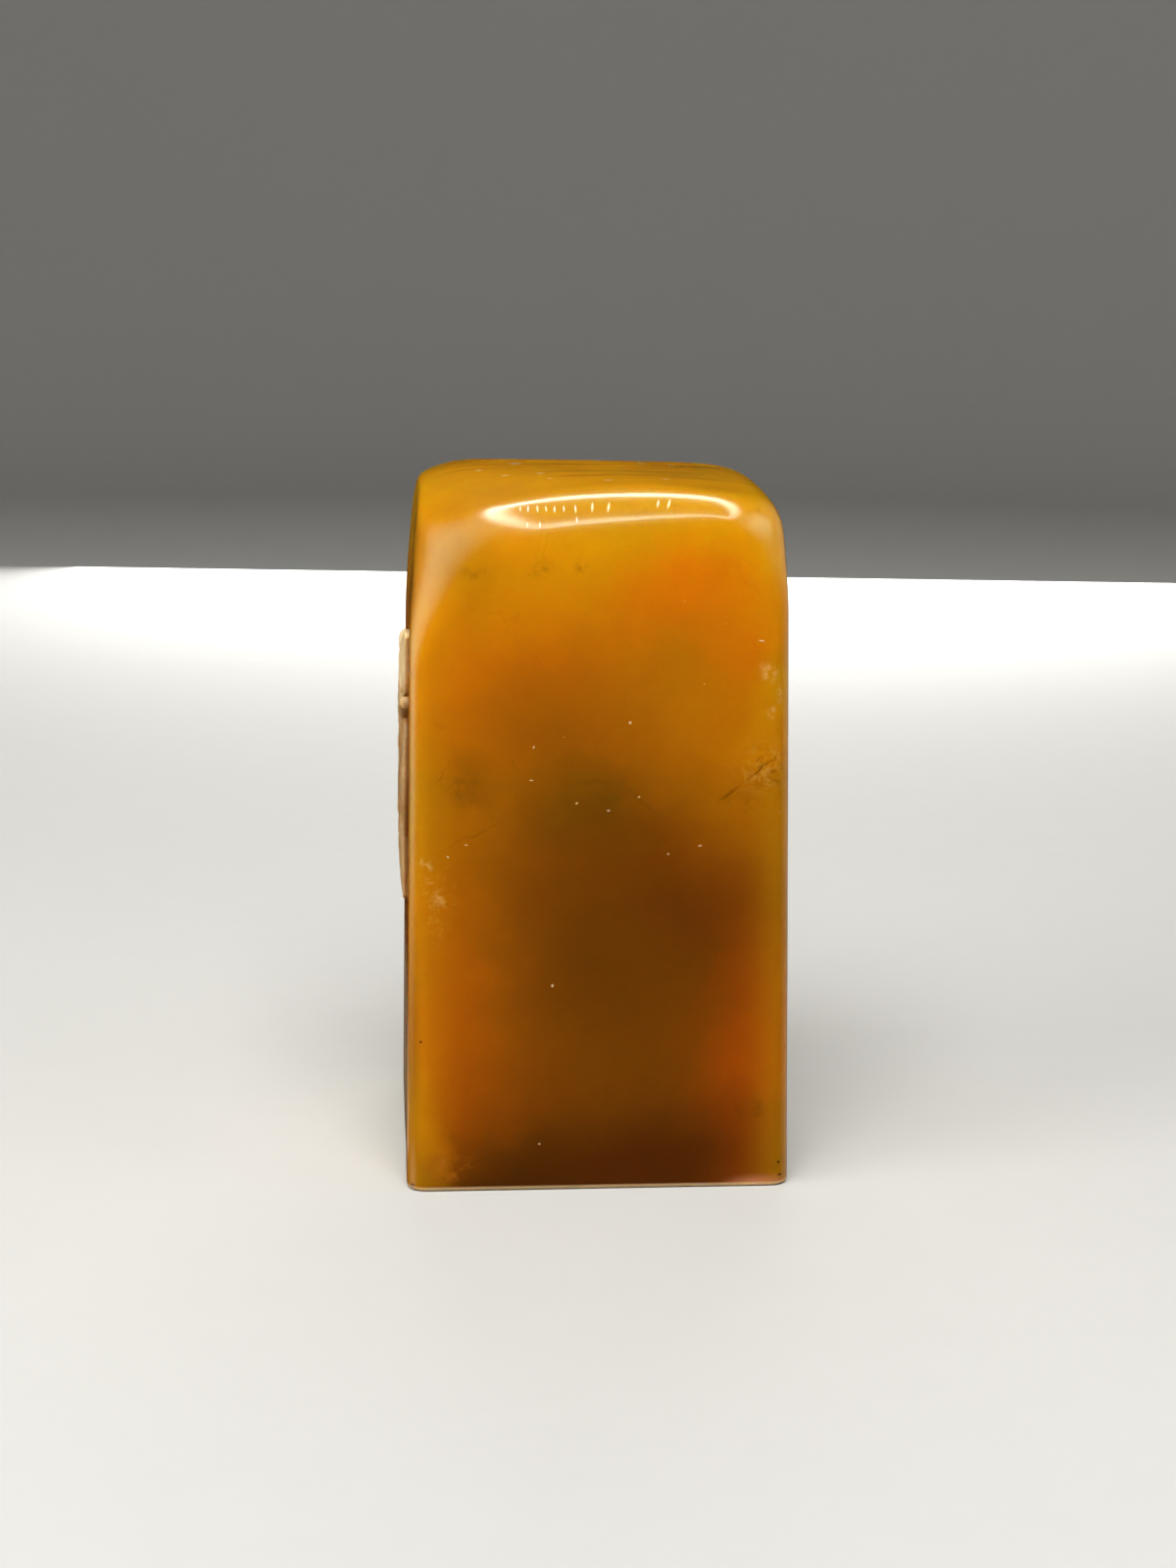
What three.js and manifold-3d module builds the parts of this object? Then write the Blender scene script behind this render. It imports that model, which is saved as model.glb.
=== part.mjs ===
// Seal stamp: one block of golden amber stone with a cushioned crown. A vine branch with leaves, a bud,
// a tendril and berries stands in low relief on its left face, in the paler skin of the stone, and a square
// fret is cut into the print face that it stands on.
// Millimetres, +Z up. The origin is the middle of the print face, the front looks along -Y and the
// carved face along -X.
import * as THREE from 'three';
import { mergeVertices } from 'three/addons/utils/BufferGeometryUtils.js';
import Module from 'manifold-3d';

// Block
const baseWidth = 26;
const baseDepth = 26;
const blockHeight = 47.7;
const footRounding = 0.35;
// how much each wall draws in per millimetre of height
const leftLean = 0.0072;
const rightLean = 0.0217;
const frontLean = 0.006;
const backLean = 0.01;

// Upright edges: one small radius low down, which opens out towards the crown at each corner
const edgeRadius = 1.55;
const frontLeftRadius = 9.7;
const frontRightRadius = 5.6;
const backLeftRadius = 2.4;
const backRightRadius = 5;
// how far below the crown each corner starts to open
const frontLeftReach = 12.3;
const frontRightReach = 9;
const backLeftReach = 9.5;
const backRightReach = 13;
const wallSoftness = 2.5;
// the radii of neighbouring corners blend over this share of the face between them
const cornerBlendShare = 0.6;

// Crown: nearly flat, with a soft shoulder to the front, right and back and a crisp crease to the left.
// The front shoulder is widest in its middle.
const frontShoulder = 5.4;
const frontShoulderEnd = 2.1;
const frontShoulderReach = 14;
const rightShoulder = 2.9;
const backShoulder = 5.6;
const leftCrease = 0.5;
const crownSoftness = 2.9;
// how sharply one shoulder's radius gives way to the next round the crown
const shoulderSharpness = 4;
const peakX = -3;
const peakY = 4;
const crownRadiusAcross = 280;
const crownRadiusDeep = 190;
// towards the front edge the crown bows down on both sides of its highest line
const frontPeakX = 4.5;
const frontBowRadius = 34;
// beside the crease the crown rolls off, and the left wall below it draws in
const leftRollWidth = 5.8;
const leftRollRadius = 14.3;
const leftDrawReach = 11;
const leftDraw = 0.88;
const leftDrawPower = 1.6;

// Print face: a raised border, a groove inside it, a raised cross and four mirrored square spirals
const engravingDepth = 0.8;
const borderWidth = 1.3;
const strokeWidth = 1.25;
const grooveWidth = 1.15;

// Relief panel on the left face, and how its carving is seated
const reliefTopDrop = 9.9;
const reliefHeight = 19.3;
const reliefSideMargin = 3.5;
const reliefSeatGap = 0.05;

// Relief carving: how far each kind of element stands off the face, and its widths
const branchWidth = 1.6;
const branchTipWidth = 0.8;
const branchRise = 0.55;
const leafEdge = 0.2;
const leafRise = 0.58;
const leafRibWidth = 0.35;
const largeLeafWidth = 4.8;
const upperLeafWidth = 4.2;
const sideLeafWidth = 3.2;
const smallLeafWidth = 2.7;
const youngLeafWidth = 1.6;
const budWidth = 1.8;
const berryRadius = 0.92;
const berryRise = 0.62;
// spacing of the berries in a row, in berry radii, and of the rows, in berry spacings
const berrySpacing = 1.62;
const berryRowSpacing = 0.86;
const stalkWidth = 0.6;
const stalkLength = 0.9;
const tendrilWidth = 0.5;
const tendrilRise = 0.36;
const tendrilRadius = 1.8;
const tendrilEyeRadius = 0.55;

// Mesh fineness of the block
const sideSteps = 5;
const cornerSteps = 10;
const guideCorner = 3.4;
const crownGuideCorner = 6;
const crownSideSteps = 3;
const crownCornerSteps = 11;
const wallRings = 8;
const footRings = 3;

const wasm = await Module();
wasm.setup();

const halfWidth = baseWidth / 2;
const halfDepth = baseDepth / 2;

const blend = (from, to, value) => THREE.MathUtils.smoothstep(value, from, to);

// Two faces meet in a soft edge: the value is zero on the skin and negative inside.
function meet(a, b, radius, softness) {
  const across = Math.max(a + radius, 0);
  const along = Math.max(b + radius, 0);
  return Math.min(Math.max(a, b), -radius) + (across ** softness + along ** softness) ** (1 / softness);
}

// Radius of the upright edges at a height, mixed from the four corners by where the point lies.
function uprightRadius(x, y, z) {
  const { lerp } = THREE.MathUtils;
  const opened = (reach, radius) => lerp(edgeRadius, radius, blend(blockHeight - reach, blockHeight, z));
  const right = blend(-cornerBlendShare * halfWidth, cornerBlendShare * halfWidth, x);
  const back = blend(-cornerBlendShare * halfDepth, cornerBlendShare * halfDepth, y);
  const frontSide = lerp(
    opened(frontLeftReach, frontLeftRadius), opened(frontRightReach, frontRightRadius), right);
  const backSide = lerp(
    opened(backLeftReach, backLeftRadius), opened(backRightReach, backRightRadius), right);
  return lerp(frontSide, backSide, back);
}

// Radius of the shoulder between walls and crown, mixed by the side that the point faces.
function shoulderRadius(x, y) {
  const middle = Math.max(1 - (x / frontShoulderReach) ** 2, 0) ** 2;
  const front = THREE.MathUtils.lerp(frontShoulderEnd, frontShoulder, middle);
  const weights = [x / halfWidth, -x / halfWidth, -y / halfDepth, y / halfDepth]
    .map((share) => Math.max(share, 0) ** shoulderSharpness + 1e-9);
  const radii = [rightShoulder, leftCrease, front, backShoulder];
  const total = weights.reduce((sum, weight) => sum + weight, 0);
  return weights.reduce((sum, weight, side) => sum + weight * radii[side], 0) / total;
}

function crownHeight(x, y) {
  const roll = Math.max(leftRollWidth - (x + halfWidth), 0);
  const towardsFront = Math.max(peakY - y, 0) / (peakY + halfDepth);
  return blockHeight - (x - peakX) ** 2 / (2 * crownRadiusAcross) - (y - peakY) ** 2 / (2 * crownRadiusDeep)
    - roll ** 2 / (2 * leftRollRadius) - (towardsFront * (x - frontPeakX)) ** 2 / (2 * frontBowRadius);
}

function leftWall(z) {
  const raised = Math.max((z - blockHeight + leftDrawReach) / leftDrawReach, 0);
  return halfWidth - leftLean * z - leftDraw * raised ** leftDrawPower;
}

// Distance-like value of the whole block: zero on its skin, negative inside it.
function blockSkin(x, y, z) {
  const sides = Math.max(x - (halfWidth - rightLean * z), -x - leftWall(z));
  const ends = Math.max(-y - (halfDepth - frontLean * z), y - (halfDepth - backLean * z));
  const walls = meet(sides, ends, uprightRadius(x, y, z), wallSoftness);
  return meet(walls, z - crownHeight(x, y), shoulderRadius(x, y), crownSoftness);
}

// Where a ray from the block's axis leaves the stone.
function skinPoint(centreHeight, direction) {
  let inside = 0;
  let outside = 2 * (halfWidth + halfDepth + blockHeight);
  const unit = direction.clone().normalize();
  for (let step = 0; step < 50; step += 1) {
    const reach = (inside + outside) / 2;
    if (blockSkin(reach * unit.x, reach * unit.y, centreHeight + reach * unit.z) < 0) inside = reach;
    else outside = reach;
  }
  return unit.multiplyScalar(inside).add(new THREE.Vector3(0, 0, centreHeight));
}

// A quarter turn of guide points: straight steps, an arc of the given radius, straight steps.
function quarterGuide(half, corner, flatSteps, arcSteps) {
  const flat = half - corner;
  const points = [];
  for (let step = 0; step < flatSteps; step += 1) {
    points.push([half, (flat * step) / flatSteps]);
  }
  for (let step = 0; step <= arcSteps; step += 1) {
    const angle = (Math.PI / 2) * (step / arcSteps);
    points.push([flat + corner * Math.cos(angle), flat + corner * Math.sin(angle)]);
  }
  for (let step = flatSteps - 1; step > 0; step -= 1) {
    points.push([(flat * step) / flatSteps, half]);
  }
  return points;
}

// A closed skin over rings of equal count, from the lowest ring to the highest, capped at both ends.
function closedSkin(rings, lowCentre, highCentre) {
  const count = rings[0].length;
  const positions = [...rings.flat(), lowCentre, highCentre].flatMap((point) => point.toArray());
  const low = rings.length * count;
  const high = low + 1;
  const index = [];
  for (let side = 0; side < count; side += 1) {
    const next = (side + 1) % count;
    index.push(low, next, side);
    for (let ring = 0; ring + 1 < rings.length; ring += 1) {
      const here = ring * count;
      const above = here + count;
      index.push(here + side, here + next, above + next, here + side, above + next, above + side);
    }
    index.push(high, (rings.length - 1) * count + side, (rings.length - 1) * count + next);
  }
  const geometry = new THREE.BufferGeometry();
  geometry.setAttribute('position', new THREE.Float32BufferAttribute(positions, 3));
  geometry.setIndex(index);
  return geometry;
}

function blockGeometry() {
  const quarter = quarterGuide(1, guideCorner / halfWidth, sideSteps, cornerSteps);
  const plan = [];
  for (let turn = 0; turn < 4; turn += 1) {
    for (const [along, across] of quarter) {
      const angle = (turn * Math.PI) / 2;
      const point = new THREE.Vector3(along, across, 0).applyAxisAngle(new THREE.Vector3(0, 0, 1), angle);
      plan.push(new THREE.Vector3(point.x * halfWidth, point.y * halfDepth, 0));
    }
  }
  // walls: the foot's rounding, then level rings up to the height where the crown's fan of rays starts
  const crownCentre = blockHeight - halfWidth;
  const rings = [];
  for (let step = 0; step < footRings; step += 1) {
    const angle = (Math.PI / 2) * (step / footRings);
    const height = footRounding * (1 - Math.cos(angle));
    const inset = (footRounding * (1 - Math.sin(angle))) / halfWidth;
    rings.push(plan.map((guide) => {
      const skin = skinPoint(footRounding, guide);
      return new THREE.Vector3(skin.x * (1 - inset), skin.y * (1 - inset), height);
    }));
  }
  for (let step = 0; step < wallRings; step += 1) {
    const height = footRounding + (crownCentre - footRounding) * (step / wallRings);
    rings.push(plan.map((guide) => skinPoint(height, guide)));
  }
  const profile = quarterGuide(1, crownGuideCorner / halfWidth, crownSideSteps, crownCornerSteps);
  for (const [out, up] of profile) {
    rings.push(plan.map((guide) =>
      skinPoint(crownCentre, new THREE.Vector3(guide.x * out, guide.y * out, up * halfWidth))));
  }
  return closedSkin(rings, new THREE.Vector3(), skinPoint(crownCentre, new THREE.Vector3(0, 0, 1)));
}

// A closed geometry as a solid that can be joined and cut.
function solidOf(geometry) {
  const bare = geometry.clone();
  bare.deleteAttribute('normal');
  bare.deleteAttribute('uv');
  const merged = mergeVertices(bare, 1e-5);
  const corners = Array.from(merged.index.array);
  const kept = [];
  for (let start = 0; start < corners.length; start += 3) {
    const [a, b, c] = corners.slice(start, start + 3);
    if (a !== b && b !== c && c !== a) kept.push(a, b, c);
  }
  return new wasm.Manifold(new wasm.Mesh({
    numProp: 3,
    vertProperties: new Float32Array(merged.attributes.position.array),
    triVerts: new Uint32Array(kept),
  }));
}

function geometryOf(solid) {
  const mesh = solid.getMesh();
  const geometry = new THREE.BufferGeometry();
  geometry.setAttribute('position', new THREE.BufferAttribute(new Float32Array(mesh.vertProperties), 3));
  geometry.setIndex(new THREE.BufferAttribute(new Uint32Array(mesh.triVerts), 1));
  return geometry;
}

// A level bar of the engraving along a straight run, as wide as the groove, open to the foot.
function grooveBar([startX, startY], [endX, endY]) {
  const bar = new THREE.BoxGeometry(
    Math.abs(endX - startX) + grooveWidth, Math.abs(endY - startY) + grooveWidth, 2 * engravingDepth);
  bar.translate((startX + endX) / 2, (startY + endY) / 2, 0);
  return bar;
}

// One quarter's groove: it leaves the groove inside the border beside the cross and winds inwards.
function spiralPath(near, farX, farY, entryY) {
  const pitch = strokeWidth + grooveWidth;
  const path = [[near, entryY]];
  let lowX = near;
  let lowY = near;
  let highX = farX;
  let highY = farY;
  while (highX - lowX > grooveWidth && highY - lowY > grooveWidth) {
    path.push([lowX, lowY], [highX, lowY], [highX, highY]);
    lowX += pitch;
    if (highX - lowX < grooveWidth) break;
    path.push([lowX, highY]);
    lowY += pitch;
    highX -= pitch;
    highY -= pitch;
  }
  return path;
}

function engraving() {
  const near = strokeWidth / 2 + grooveWidth / 2;
  const ringX = halfWidth - footRounding - borderWidth - grooveWidth / 2;
  const ringY = halfDepth - footRounding - borderWidth - grooveWidth / 2;
  const inward = grooveWidth + strokeWidth;
  const path = spiralPath(near, ringX - inward, ringY - inward, ringY);
  const bars = [
    grooveBar([-ringX, -ringY], [ringX, -ringY]),
    grooveBar([-ringX, ringY], [ringX, ringY]),
    grooveBar([-ringX, -ringY], [-ringX, ringY]),
    grooveBar([ringX, -ringY], [ringX, ringY]),
  ];
  for (const mirrorX of [-1, 1]) {
    for (const mirrorY of [-1, 1]) {
      const turned = path.map(([x, y]) => [x * mirrorX, y * mirrorY]);
      turned.slice(1).forEach((corner, step) => bars.push(grooveBar(turned[step], corner)));
    }
  }
  return bars.map(solidOf).reduce((joined, bar) => joined.add(bar));
}

// Relief elements are drawn flat: x runs across the panel, y up it and z off the face.
const panelHalf = halfDepth - reliefSideMargin;
const panelFoot = blockHeight - reliefTopDrop - reliefHeight;
const onPanel = ([across, up]) => new THREE.Vector3(across * panelHalf, panelFoot + up * reliefHeight, 0);

// A strip along a curve: each section is flat below, with an upright rim and a crowned top.
function reliefStrip(curve, steps, sectionSteps, halfWidthAt, heightAt) {
  const rings = [];
  for (let step = 0; step <= steps; step += 1) {
    const along = step / steps;
    const centre = curve.getPoint(along);
    const ahead = curve.getTangent(along);
    const side = new THREE.Vector3(-ahead.y, ahead.x, 0);
    const half = halfWidthAt(along);
    const ring = [];
    for (let part = 0; part <= sectionSteps; part += 1) {
      const across = 1 - (2 * part) / sectionSteps;
      ring.push(centre.clone().addScaledVector(side, half * across).setZ(heightAt(along, across)));
    }
    for (const across of [-1, 1]) {
      ring.push(centre.clone().addScaledVector(side, half * across));
    }
    rings.push(ring);
  }
  const middleOf = (ring) => ring[0].clone().lerp(ring[sectionSteps + 1], 0.5);
  return closedSkin(rings, middleOf(rings[0]), middleOf(rings[rings.length - 1]));
}

// A half-round top that springs from an upright rim.
function roundTop(rim, rise) {
  return (along, across) => rim + (rise - rim) * Math.sqrt(Math.max(1 - across ** 2, 0));
}

function branchGeometry() {
  const bends = [[-0.96, 0.17], [-0.58, 0.34], [-0.105, 0.486], [0.358, 0.65], [0.78, 0.725]];
  const curve = new THREE.CatmullRomCurve3(bends.map(onPanel));
  const half = (along) => THREE.MathUtils.lerp(branchWidth, branchTipWidth, along) / 2;
  return reliefStrip(curve, 16, 6, half, roundTop(leafEdge, branchRise));
}

// A pointed leaf, widest below its middle, crowned on both sides of a sunken midrib.
function leafGeometry(base, bend, tip, fullWidth) {
  const curve = new THREE.QuadraticBezierCurve3(onPanel(base), onPanel(bend), onPanel(tip));
  const stemHalf = stalkWidth / 4;
  const half = (along) => stemHalf + (fullWidth / 2 - stemHalf) * Math.sin(Math.PI * along ** 0.8) ** 0.9;
  const rise = (along, across) => {
    const swell = Math.sin(Math.PI * (0.12 + 0.8 * along));
    const rib = Math.min((Math.abs(across) * half(along)) / leafRibWidth, 1);
    const crown = Math.max(1 - across ** 2, 0) ** 0.6;
    return leafEdge + (leafRise - leafEdge) * swell * crown * (0.6 + 0.4 * rib);
  };
  return reliefStrip(curve, 12, 8, half, rise);
}

// A curl that winds in towards its eye.
class Curl extends THREE.Curve {
  constructor(eye, startAngle, turns) {
    super();
    this.radiusAt = (along) => THREE.MathUtils.lerp(tendrilRadius, tendrilEyeRadius, along);
    this.angleAt = (along) => startAngle + along * turns * 2 * Math.PI;
    this.eye = eye;
  }

  getPoint(along, target = new THREE.Vector3()) {
    const radius = this.radiusAt(along);
    const angle = this.angleAt(along);
    return target.set(this.eye.x + radius * Math.cos(angle), this.eye.y + radius * Math.sin(angle), 0);
  }
}

function tendrilGeometry() {
  const curl = new Curl(onPanel([-0.38, 0.207]), 0.6 * Math.PI, 1.35);
  return reliefStrip(curl, 26, 4, () => tendrilWidth / 2, roundTop(leafEdge / 2, tendrilRise));
}

// A bunch of domed berries packed in staggered rows, joined with the short stalk that holds them.
function berryGeometry() {
  const foot = onPanel([0.04, 0.592]);
  const rows = [2, 3, 2, 1];
  const pitch = berrySpacing * berryRadius;
  const rowRise = berryRowSpacing * pitch;
  const domeSteps = 3;
  const profile = [new THREE.Vector2(0, 0), new THREE.Vector2(berryRadius, 0)];
  for (let step = 0; step <= domeSteps; step += 1) {
    const angle = (Math.PI / 2) * (step / domeSteps);
    const height = leafEdge + (berryRise - leafEdge) * Math.sin(angle);
    profile.push(new THREE.Vector2(step === domeSteps ? 0 : berryRadius * Math.cos(angle), height));
  }
  const stalk = new THREE.LineCurve3(foot, foot.clone().setY(foot.y + stalkLength + berryRadius));
  const solids = [solidOf(reliefStrip(stalk, 2, 4, () => stalkWidth / 2, roundTop(leafEdge, tendrilRise)))];
  rows.forEach((count, row) => {
    for (let berry = 0; berry < count; berry += 1) {
      const dome = new THREE.LatheGeometry(profile, 11);
      dome.rotateX(Math.PI / 2);
      const across = (berry - (count - 1) / 2) * pitch;
      const up = stalkLength + berryRadius + row * rowRise;
      dome.translate(foot.x + across, foot.y + up, 0);
      solids.push(solidOf(dome));
    }
  });
  return geometryOf(solids.reduce((joined, solid) => joined.add(solid)));
}

function sculpted(name, geometry, material) {
  const mesh = new THREE.Mesh(geometry, material);
  mesh.name = name;
  return mesh;
}

const amber = () => new THREE.MeshStandardMaterial({ color: 0xb5730a, roughness: 0.2, metalness: 0 });
const skin = () => new THREE.MeshStandardMaterial({ color: 0xdcc08a, roughness: 0.4, metalness: 0 });

const seal = new THREE.Group();
seal.add(sculpted('stone_block', geometryOf(solidOf(blockGeometry()).subtract(engraving())), amber()));

// The relief lies on the leaning left face: x to the front, y up the face and z out of the stone.
const carvedFace = new THREE.Group();
const lean = Math.atan(leftLean);
const outOfFace = new THREE.Vector3(-Math.cos(lean), 0, Math.sin(lean));
carvedFace.quaternion.setFromRotationMatrix(new THREE.Matrix4().makeBasis(
  new THREE.Vector3(0, -1, 0), new THREE.Vector3(Math.sin(lean), 0, Math.cos(lean)), outOfFace));
carvedFace.position.set(-halfWidth, 0, 0).addScaledVector(outOfFace, reliefSeatGap);
const leaves = [
  ['large', largeLeafWidth, [0.03, 0.46], [0.12, 0.2], [0.6, 0.01]],
  ['upper', upperLeafWidth, [-0.4, 0.462], [-0.72, 0.59], [-0.58, 0.86]],
  ['side', sideLeafWidth, [0.7, 0.66], [0.95, 0.52], [0.8, 0.255]],
  ['small', smallLeafWidth, [0.48, 0.73], [0.56, 0.91], [0.98, 0.97]],
  ['young', youngLeafWidth, [0.42, 0.588], [0.52, 0.53], [0.56, 0.4]],
];
for (const [kind, fullWidth, base, bend, tip] of leaves) {
  carvedFace.add(sculpted(`relief_leaf_${kind}`, leafGeometry(base, bend, tip, fullWidth), skin()));
}
carvedFace.add(
  sculpted('relief_bud', leafGeometry([-0.8, 0.34], [-0.98, 0.435], [-0.93, 0.585], budWidth), skin()),
  sculpted('relief_branch', branchGeometry(), skin()),
  sculpted('relief_berry_cluster', berryGeometry(), skin()),
  sculpted('relief_tendril', tendrilGeometry(), skin()),
);
seal.add(carvedFace);

export default seal;
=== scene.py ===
import math

import bpy
import numpy as np
from mathutils import Matrix, Vector


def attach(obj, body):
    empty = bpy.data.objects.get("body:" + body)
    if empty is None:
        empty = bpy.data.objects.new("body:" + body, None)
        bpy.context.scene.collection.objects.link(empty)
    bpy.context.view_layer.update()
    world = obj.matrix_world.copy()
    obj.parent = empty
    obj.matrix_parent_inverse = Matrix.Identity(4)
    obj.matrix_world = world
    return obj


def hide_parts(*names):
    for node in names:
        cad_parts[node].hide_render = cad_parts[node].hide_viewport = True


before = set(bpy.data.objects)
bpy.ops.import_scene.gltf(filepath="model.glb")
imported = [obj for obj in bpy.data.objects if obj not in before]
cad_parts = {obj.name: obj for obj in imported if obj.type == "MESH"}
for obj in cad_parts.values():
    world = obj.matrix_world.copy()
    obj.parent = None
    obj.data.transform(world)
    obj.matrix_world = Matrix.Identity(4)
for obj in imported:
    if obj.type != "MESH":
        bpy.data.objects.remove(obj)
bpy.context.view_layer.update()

# The seal stands on its print face at the origin. Its front looks along -Y, and its carved face along -X.
# Sizes are in millimetres, and turn into metres where meshes, lamps and the camera are made.
MM = 0.001

# Block
BASE_WIDTH = 26.0
BASE_DEPTH = 26.0
BLOCK_HEIGHT = 47.7
FOOT_ROUNDING = 0.35
LEAN = {"left": 0.0072, "right": 0.0217, "front": 0.006, "back": 0.01}

# Upright edges: one radius along the walls, and for each corner its radius at the crown and how far below
# the crown it starts to open
EDGE_RADIUS = 1.55
CROWN_CORNER = {
    "front_left": (9.7, 12.3),
    "front_right": (5.6, 9.0),
    "back_left": (2.4, 9.5),
    "back_right": (5.0, 13.0),
}
CORNER_BLEND = 0.6
WALL_SOFTNESS = 2.5

# Crown
SHOULDER = {"right": 2.9, "left": 0.5, "back": 5.6}
FRONT_SHOULDER = 5.4
FRONT_SHOULDER_END = 2.1
FRONT_SHOULDER_REACH = 14.0
SHOULDER_SHARPNESS = 4
CROWN_SOFTNESS = 2.9
PEAK_X = -3.0
PEAK_Y = 4.0
CROWN_RADIUS_ACROSS = 280.0
CROWN_RADIUS_DEEP = 190.0
FRONT_PEAK_X = 4.5
FRONT_BOW_RADIUS = 34.0
LEFT_ROLL_WIDTH = 5.8
LEFT_ROLL_RADIUS = 14.3
LEFT_DRAW_REACH = 11.0
LEFT_DRAW = 0.88
LEFT_DRAW_POWER = 1.6

# Hand polish: shallow waves ground into the faces, only ever inwards
POLISH_DEPTH = 0.035

# Print face
ENGRAVING_DEPTH = 0.8
BORDER_WIDTH = 1.3
STROKE_WIDTH = 1.25
GROOVE_WIDTH = 1.15

# Relief panel and carving
RELIEF_TOP_DROP = 9.9
RELIEF_HEIGHT = 19.3
RELIEF_SIDE_MARGIN = 3.5
RELIEF_SINK = 0.08
BRANCH_WIDTH = 1.6
BRANCH_TIP_WIDTH = 0.8
BRANCH_RISE = 0.55
LEAF_EDGE = 0.2
LEAF_RISE = 0.58
LEAF_RIB_WIDTH = 0.35
LEAF_SERRATION = 0.035
LEAF_VEIN_DEPTH = 0.07
LEAF_CORD_WIDTH = 0.09
LEAF_CORD_RISE = 0.06
BARK_DEPTH = 0.022
BERRY_RADIUS = 0.92
BERRY_RISE = 0.62
BERRY_EYE_DEPTH = 0.1
BERRY_PITCH = 1.62 * BERRY_RADIUS
BERRY_ROW_PITCH = 0.86 * BERRY_PITCH
STALK_WIDTH = 0.6
STALK_LENGTH = 0.9
TENDRIL_WIDTH = 0.5
TENDRIL_RISE = 0.36
TENDRIL_RADIUS = 1.8
TENDRIL_EYE_RADIUS = 0.55

HALF_WIDTH = BASE_WIDTH / 2
HALF_DEPTH = BASE_DEPTH / 2


# Block surface
def smooth(low, high, value):
    share = np.clip((value - low) / (high - low), 0, 1)
    return share * share * (3 - 2 * share)


def mix(a, b, share):
    return a + (b - a) * share


def full_turn(steps):
    """Evenly spaced angles once round, without the last one that meets the first."""
    return np.linspace(0, 2 * math.pi, steps + 1)[:-1]


def meet(a, b, radius, softness):
    """Two faces meet in a soft edge: zero on the skin, negative inside."""
    across = np.maximum(a + radius, 0)
    along = np.maximum(b + radius, 0)
    rounded = (across**softness + along**softness) ** (1 / softness)
    return np.minimum(np.maximum(a, b), -radius) + rounded


def upright_radius(x, y, z):
    def opened(corner):
        radius, reach = CROWN_CORNER[corner]
        return mix(EDGE_RADIUS, radius, smooth(BLOCK_HEIGHT - reach, BLOCK_HEIGHT, z))

    right = smooth(-CORNER_BLEND * HALF_WIDTH, CORNER_BLEND * HALF_WIDTH, x)
    back = smooth(-CORNER_BLEND * HALF_DEPTH, CORNER_BLEND * HALF_DEPTH, y)
    front_side = mix(opened("front_left"), opened("front_right"), right)
    back_side = mix(opened("back_left"), opened("back_right"), right)
    return mix(front_side, back_side, back)


def shoulder_radius(x, y):
    shares = {
        "right": x / HALF_WIDTH,
        "left": -x / HALF_WIDTH,
        "front": -y / HALF_DEPTH,
        "back": y / HALF_DEPTH,
    }
    weights = {side: np.maximum(share, 0) ** SHOULDER_SHARPNESS + 1e-9 for side, share in shares.items()}
    middle = np.maximum(1 - (x / FRONT_SHOULDER_REACH) ** 2, 0) ** 2
    radii = {**SHOULDER, "front": mix(FRONT_SHOULDER_END, FRONT_SHOULDER, middle)}
    return sum(weights[side] * radii[side] for side in weights) / sum(weights.values())


def crown_height(x, y):
    roll = np.maximum(LEFT_ROLL_WIDTH - (x + HALF_WIDTH), 0)
    dome = (x - PEAK_X) ** 2 / (2 * CROWN_RADIUS_ACROSS) + (y - PEAK_Y) ** 2 / (2 * CROWN_RADIUS_DEEP)
    towards_front = np.maximum(PEAK_Y - y, 0) / (PEAK_Y + HALF_DEPTH)
    bow = (towards_front * (x - FRONT_PEAK_X)) ** 2 / (2 * FRONT_BOW_RADIUS)
    return BLOCK_HEIGHT - dome - bow - roll**2 / (2 * LEFT_ROLL_RADIUS)


def left_wall(z):
    raised = np.maximum((z - BLOCK_HEIGHT + LEFT_DRAW_REACH) / LEFT_DRAW_REACH, 0)
    return HALF_WIDTH - LEAN["left"] * z - LEFT_DRAW * raised**LEFT_DRAW_POWER


def polish(x, y, z):
    """Shallow hollows left by polishing by hand, from 0 to POLISH_DEPTH."""
    waves = (
        np.sin(0.31 * x + 0.43 * z + 0.8)
        + np.sin(0.37 * y - 0.29 * z + 2.1)
        + np.sin(0.52 * x - 0.47 * y + 0.23 * z)
        + np.sin(0.19 * z + 0.61 * y + 4.0)
    )
    return POLISH_DEPTH * (waves + 4) / 8


def block_skin(x, y, z):
    sides = np.maximum(x - (HALF_WIDTH - LEAN["right"] * z), -x - left_wall(z))
    ends = np.maximum(-y - (HALF_DEPTH - LEAN["front"] * z), y - (HALF_DEPTH - LEAN["back"] * z))
    walls = meet(sides, ends, upright_radius(x, y, z), WALL_SOFTNESS)
    return meet(walls, z - crown_height(x, y), shoulder_radius(x, y), CROWN_SOFTNESS) + polish(x, y, z)


def skin_points(centre_height, directions):
    """Where rays from the block's axis leave the stone."""
    unit = directions / np.linalg.norm(directions, axis=-1, keepdims=True)
    inside = np.zeros(unit.shape[:-1])
    outside = np.full(unit.shape[:-1], 2 * BLOCK_HEIGHT)
    halvings = 44
    for _ in range(halvings):
        reach = (inside + outside) / 2
        x, y, z = np.moveaxis(unit * reach[..., None], -1, 0)
        within = block_skin(x, y, z + centre_height) < 0
        inside = np.where(within, reach, inside)
        outside = np.where(within, outside, reach)
    points = unit * inside[..., None]
    points[..., 2] += centre_height
    return points


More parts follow.
